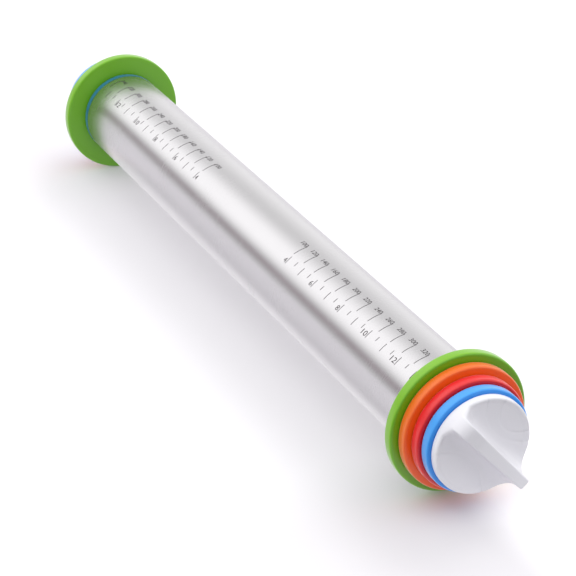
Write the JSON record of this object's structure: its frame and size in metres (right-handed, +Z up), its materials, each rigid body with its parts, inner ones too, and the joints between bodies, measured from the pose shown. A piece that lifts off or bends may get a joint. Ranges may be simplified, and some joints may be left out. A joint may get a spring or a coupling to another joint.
{
  "type": "adjustable_rolling_pin",
  "caption": "Adjustable rolling pin: a satin steel barrel with etched scales, stacked coloured plastic thickness rings and a white screw knob at each end",
  "frame": {"origin": "bottom centre of the bounding box, on the table under the middle of the pin", "axes": "X along the pin, Y across it, Z up"},
  "size_m": [0.4228, 0.0616, 0.0617],
  "materials": {
    "barrel_steel": "satin brushed stainless steel with etched scales",
    "plug_plastic": "moulded blue plastic",
    "seal_rubber": "black nitrile rubber",
    "insert_brass": "turned brass",
    "ring_green": "satin moulded green plastic",
    "ring_orange": "satin moulded orange plastic",
    "ring_red": "satin moulded red plastic",
    "ring_blue": "satin moulded blue plastic",
    "knob_plastic": "satin moulded white plastic",
    "stud_steel": "turned steel"
  },
  "bodies": {
    "barrel": {"barrel_tube": "barrel_steel", "right_end_plug": "plug_plastic", "right_plug_seal": "seal_rubber", "right_threaded_insert": "insert_brass", "left_end_plug": "plug_plastic", "left_plug_seal": "seal_rubber", "left_threaded_insert": "insert_brass"},
    "right_10mm": {"right_ring_10mm": "ring_green"},
    "right_6mm": {"right_ring_6mm": "ring_orange"},
    "right_3mm": {"right_ring_3mm": "ring_red"},
    "right_2mm": {"right_ring_2mm": "ring_blue"},
    "right_screw": {"right_knob": "knob_plastic", "right_threaded_stud": "stud_steel"},
    "left_10mm": {"left_ring_10mm": "ring_green"},
    "left_6mm": {"left_ring_6mm": "ring_orange"},
    "left_3mm": {"left_ring_3mm": "ring_red"},
    "left_2mm": {"left_ring_2mm": "ring_blue"},
    "left_screw": {"left_knob": "knob_plastic", "left_threaded_stud": "stud_steel"}
  },
  "joints": [
    {"name": "right_knob_turn", "type": "hinge", "parent": "right_2mm", "child": "right_screw", "pos_m": [0.19765, 0, 0.03083], "axis": [1, 0, 0], "range_deg": [0, 1801]},
    {"name": "right_2mm_slide", "type": "slide", "parent": "barrel", "child": "right_2mm", "axis": [1, 0, 0], "range_m": [0, 0.015]},
    {"name": "right_3mm_slide", "type": "slide", "parent": "barrel", "child": "right_3mm", "axis": [1, 0, 0], "range_m": [0, 0.01126]},
    {"name": "right_6mm_slide", "type": "slide", "parent": "barrel", "child": "right_6mm", "axis": [1, 0, 0], "range_m": [0, 0.00751]},
    {"name": "right_10mm_slide", "type": "slide", "parent": "barrel", "child": "right_10mm", "axis": [1, 0, 0], "range_m": [0, 0.00376]},
    {"name": "left_knob_turn", "type": "hinge", "parent": "left_2mm", "child": "left_screw", "pos_m": [-0.19765, 0, 0.03083], "axis": [-1, 0, 0], "range_deg": [0, 1801]},
    {"name": "left_2mm_slide", "type": "slide", "parent": "barrel", "child": "left_2mm", "axis": [-1, 0, 0], "range_m": [0, 0.015]},
    {"name": "left_3mm_slide", "type": "slide", "parent": "barrel", "child": "left_3mm", "axis": [-1, 0, 0], "range_m": [0, 0.01126]},
    {"name": "left_6mm_slide", "type": "slide", "parent": "barrel", "child": "left_6mm", "axis": [-1, 0, 0], "range_m": [0, 0.00751]},
    {"name": "left_10mm_slide", "type": "slide", "parent": "barrel", "child": "left_10mm", "axis": [-1, 0, 0], "range_m": [0, 0.00376]}
  ],
  "couplings": [
    {"joint": "right_knob_turn", "follows": "right_2mm_slide", "rad_per_m": 2094.4},
    {"joint": "right_3mm_slide", "follows": "right_2mm_slide", "ratio": 0.75},
    {"joint": "right_6mm_slide", "follows": "right_2mm_slide", "ratio": 0.5},
    {"joint": "right_10mm_slide", "follows": "right_2mm_slide", "ratio": 0.25},
    {"joint": "left_knob_turn", "follows": "left_2mm_slide", "rad_per_m": 2094.4},
    {"joint": "left_3mm_slide", "follows": "left_2mm_slide", "ratio": 0.75},
    {"joint": "left_6mm_slide", "follows": "left_2mm_slide", "ratio": 0.5},
    {"joint": "left_10mm_slide", "follows": "left_2mm_slide", "ratio": 0.25}
  ]
}
